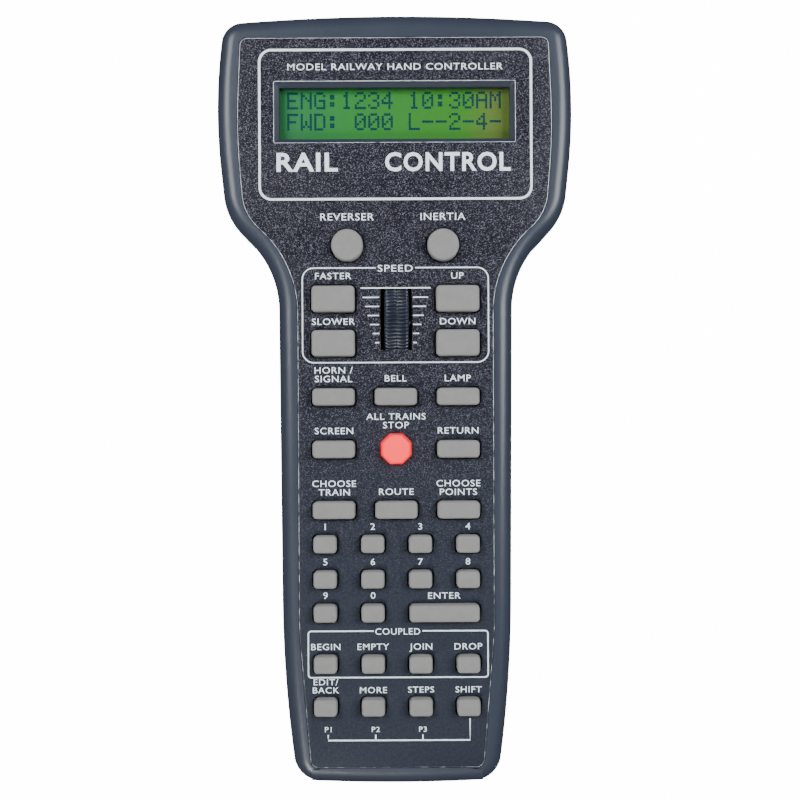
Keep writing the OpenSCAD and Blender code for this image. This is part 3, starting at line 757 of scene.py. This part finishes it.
def build_words():
    """The key legends, and the words of the panel."""
    bm = bmesh.new()
    for node, lines, up, cap in LEGENDS:
        x, y = key_place(node)[:2]
        for i, line in enumerate(lines):
            above = len(lines) - 1 - i
            words(bm, line, x, y + up + above * cap * LINE_STEP, cap * LEGEND_SCALE)
    words(bm, "SPEED", 0, 35.1, 1.95, 9.4)
    words(bm, "COUPLED", 0.2, -61.95, 1.85, 12)
    for x, label in PLACES:
        words(bm, label, x, -88.1, 1.5)
    words(bm, "MODEL RAILWAY HAND CONTROLLER", 0.2, 89.0, 1.9, 57.6)
    words(bm, "RAIL", -23.4, 63.7, 5.2, 16.4, 0.05)
    words(bm, "CONTROL", 14.2, 63.7, 5.2, 33.6, 0.05)
    make("print_words", bm, [INK], "case")


build_overlay()
build_frames()
build_words()


# ---- Display ----

GLYPHS = {  # rows of five dots, top to bottom
    "A": "01110 10001 10001 11111 10001 10001 10001",
    "D": "11110 10001 10001 10001 10001 10001 11110",
    "E": "11111 10000 10000 11110 10000 10000 11111",
    "F": "11111 10000 10000 11110 10000 10000 10000",
    "G": "01110 10001 10000 10111 10001 10001 01111",
    "L": "10000 10000 10000 10000 10000 10000 11111",
    "M": "10001 11011 10101 10101 10001 10001 10001",
    "N": "10001 11001 10101 10011 10001 10001 10001",
    "W": "10001 10001 10001 10101 10101 11011 10001",
    "-": "00000 00000 00000 11111 00000 00000 00000",
    ":": "00000 01100 01100 00000 01100 01100 00000",
    "0": "01110 10001 10011 10101 11001 10001 01110",
    "1": "00100 01100 00100 00100 00100 00100 01110",
    "2": "01110 10001 00001 00110 01000 10000 11111",
    "3": "01110 10001 00001 00110 00001 10001 01110",
    "4": "00010 00110 01010 10010 11111 00010 00010",
}
DOT, DOT_HALF = (0.61, 0.66), (0.28, 0.3)  # pitch, and half a dot's size
CHAR_PITCH, LINE_PITCH = 3.66, 5.75
TEXT_X, TEXT_Y = -0.15, WINDOW_Y + 1.25


def build_display():
    """The glass, with two lines of dot characters in its face."""
    low, high = (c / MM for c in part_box("lcd_glass"))
    bm = bmesh.new()
    size, edge = (high.x - low.x, high.y - low.y), 0.15
    outline = block(*size, 0.4, 0, WINDOW_Y, 3)
    profile = [(edge, low.z), (0, low.z + edge), (0, high.z - edge), (edge, high.z)]
    rings_mesh(bm, [flat_ring(inset(outline, d), z) for d, z in profile])
    make("display_glass", bm, [GLASS], "case", ["lcd_glass"])
    bm = bmesh.new()
    bottom, top = high.z - 0.01, high.z + 0.03
    half_x, half_y = DOT_HALF
    for row, text in enumerate(("ENG:1234 10:30AM", "FWD: 000 L--2-4-")):
        for column, letter in enumerate(text):
            for j, dots in enumerate(GLYPHS.get(letter, "").split()):
                for i, dot in enumerate(dots):
                    x = TEXT_X + (column - 7.5) * CHAR_PITCH + (i - 2) * DOT[0]
                    y = TEXT_Y + (0.5 - row) * LINE_PITCH + (3 - j) * DOT[1]
                    if dot == "1":
                        box_mesh(bm, (x - half_x, y - half_y, bottom),
                                 (x + half_x, y + half_y, top))
    make("display_dots", bm, [DOTS], "case")


build_display()


# ---- Thumbwheel ----

def build_wheel():
    """Rounded ribs across the rim, broken by a fine groove round its middle."""
    ribs, steps, depth, sharpness = 76, 8, 0.42, 1.7
    radius, half = 12.5, (wheel_high.x - wheel_low.x) / 2 / MM
    rim, web, hub, bore = radius - 2.5, 1.2, 3.0, 1.52
    # radius, distance from the middle plane, share of the rib depth
    side = [(bore, half, 0), (hub, half, 0), (hub + 0.2, web, 0), (rim - 0.3, web, 0),
            (rim, half, 0), (radius - 0.75, half, 0), (radius - 0.5, half - 0.1, 0.3),
            (radius - 0.12, half - 0.5, 0.9), (radius, half - 0.85, 1), (radius, 0.26, 1),
            (radius - 0.22, 0.12, 0.5)]
    profile = [(r, -x, share) for r, x, share in side]
    profile += [(r, x, share) for r, x, share in reversed(side)]
    rings = []
    for r, x, share in profile:
        ring = []
        for i in range(ribs * steps):
            a = 2 * math.pi * i / (ribs * steps)
            valley = (0.5 - 0.5 * math.cos(a * ribs)) ** sharpness
            reach = r - depth * share * valley
            ring.append(Vector((x, reach * math.cos(a), reach * math.sin(a))) + wheel_centre)
        rings.append(ring)
    bm = bmesh.new()
    rings_mesh(bm, rings, closed=True)
    make("ribbed_wheel", bm, [WHEEL], "thumbwheel", ["thumbwheel"], 50)


build_wheel()


# ---- Socket and screws ----

PLUG, PLUG_CHAMFER, PLUG_DEPTH, PLUG_FLOOR = (9.8, 7.4), 0.4, 12.5, 3
LATCH_HALF, LATCH_DROP = 3.1, 1.5
HEAD_R, HEAD_STEP, HEAD_STEPS = 2.7, 0.25, 6
SHANK_TOP, TIP_Z = 13.6, 23.0


def cross_loop(reach, half):
    """The outline of a cross of four arms."""
    arm, loop = [(reach, half), (half, half), (half, reach)], []
    for q in range(4):
        c, s = math.cos(q * math.pi / 2), math.sin(q * math.pi / 2)
        loop += [(a * c - b * s, a * s + b * c) for a, b in arm]
    return loop


def build_socket():
    """The cord socket: a rounded block with an opening for the plug and a groove for its latch."""
    width, height = jack_high.x - jack_low.x, jack_high.z - jack_low.z
    front, back = jack_low.y, jack_high.y

    def upright(size, r, middle, y):
        return [(p.x, y, middle + p.y) for p in rounded(block(*size, r, 0, 0, 5))]

    body, cutter = bmesh.new(), bmesh.new()
    steps = [(0.5, 0.4, front), (0.14, 0.5, front + 0.07), (0, 0.5, front + 0.25), (0, 0.5, back)]
    middle = (jack_high.z + jack_low.z) / 2
    rings_mesh(body, [upright((width - d, height - d), r, middle, y) for d, r, y in steps])
    floor = jack_low.z + PLUG_FLOOR
    mouth = widened(PLUG, PLUG_CHAMFER)
    steps = [(mouth, 0.4, front - 1), (mouth, 0.4, front - 0.01),
             (PLUG, 0.2, front + 0.5), (PLUG, 0.2, front + PLUG_DEPTH)]
    rings_mesh(cutter, [upright(size, r, floor + PLUG[1] / 2, y) for size, r, y in steps])
    body = cut(body, cutter)
    cutter = bmesh.new()
    box_mesh(cutter, (-LATCH_HALF, front - 1, floor - LATCH_DROP),
             (LATCH_HALF, front + PLUG_DEPTH - 0.1, floor + 0.2))
    make("cord_socket", cut(body, cutter), [BLACK], "case", ["cord_jack"])


def build_case_screws():
    """Domed screws with a cross recess, heads down in the rear shell."""
    bm = bmesh.new()
    edge, rise = 3.9, 0.9 * 0.98
    dome = [(HEAD_R - HEAD_STEP * k, edge - rise * math.sin(math.pi / 2 * k / HEAD_STEPS))
            for k in range(1, HEAD_STEPS + 1)]
    profile = [(PILOT_R, TIP_Z), (PILOT_R, SEAM_Z), (SCREW_R, SHANK_TOP), (SCREW_R, SINK_Z),
               (HEAD_R, SINK_Z), (HEAD_R, edge)] + dome + [(0.6, 3.0)]
    star = cross_loop(1.6, 0.28)
    for x, y in both_sides(CASE_HOLES):
        screw, cross = bmesh.new(), bmesh.new()
        lathe(screw, profile, (x, y, 0))
        rings_mesh(cross, [[(x + px * scale, y + py * scale, z) for px, py in star]
                           for scale, z in ((1, 2.0), (1, 3.1), (0.6, 4.2))])
        append(bm, cut(screw, cross))
    make("case_screw_set", bm, [DARK_STEEL], "case", ["case_screws"])


build_socket()
build_case_screws()


# ---- Floor, light and camera ----

FLOOR_Z, FLOOR_R, SWEEP_R, WALL_TOP = -0.2, 3000, 1500, 5000
AIM = Vector((0, 0, 0.02))
LIGHTS = [  # name, place, size, power, colour
    ("key_light", (-0.35, -0.7, 0.85), (0.28, 0.28), 8, (1.0, 0.99, 0.95)),
    ("left_box", (-0.4, 0.22, 0.5), (0.36, 0.28), 4, (0.96, 0.98, 1.0)),
    ("right_box", (0.44, 0.16, 0.46), (0.4, 0.34), 5, (0.94, 0.97, 1.0))]


def build_floor():
    """A white floor, curved up into a wall all round, that neither lights nor shades the rest."""
    turn = [k * math.pi / 24 for k in range(1, 12)]
    sweep = [(1, FLOOR_Z), (FLOOR_R, FLOOR_Z)]
    sweep += [(FLOOR_R + SWEEP_R * math.sin(a), SWEEP_R * (1 - math.cos(a))) for a in turn]
    sweep += [(FLOOR_R + SWEEP_R, WALL_TOP)]
    angles = [k * math.pi / 32 for k in range(64)]
    bm = bmesh.new()
    rings_mesh(bm, [[(r * math.cos(a), r * math.sin(a), z) for a in angles] for r, z in sweep],
               caps=False)
    floor = make("studio_floor", bm, [], None)
    pale = Finish("studio_pale", (0.9, 0.9, 0.9), 0.9, Emission_Color=(1, 1, 1, 1),
                  Emission_Strength=14.0)
    floor.data.materials.append(pale.mottle(3, 0.01).material)
    floor.visible_diffuse = floor.visible_glossy = floor.visible_shadow = False


def studio():
    """The floor, a dim sky, three soft lights and a camera that looks straight down."""
    build_floor()
    world = bpy.data.worlds.new("studio")
    bpy.context.scene.world = world
    world.use_nodes = True
    sky = world.node_tree.nodes["Background"].inputs
    sky["Color"].default_value = (0.9, 0.95, 1.0, 1)
    sky["Strength"].default_value = 0.09
    for name, place, size, power, colour in LIGHTS:
        light = bpy.data.lights.new(name, "AREA")
        light.shape, light.size, light.size_y = "RECTANGLE", *size
        light.energy, light.color = power, colour
        lamp = link_new(name, light)
        lamp.location = place
        lamp.rotation_euler = (AIM - Vector(place)).to_track_quat("-Z", "Y").to_euler()
    camera = link_new("camera", bpy.data.cameras.new("camera"))
    camera.data.lens, camera.data.sensor_width, camera.data.clip_start = 48, 36, 0.01
    camera.location = (0.0011, -0.0002, 0.315)
    camera.rotation_euler = (0, 0, math.radians(-0.28))
    bpy.context.scene.camera = camera


studio()
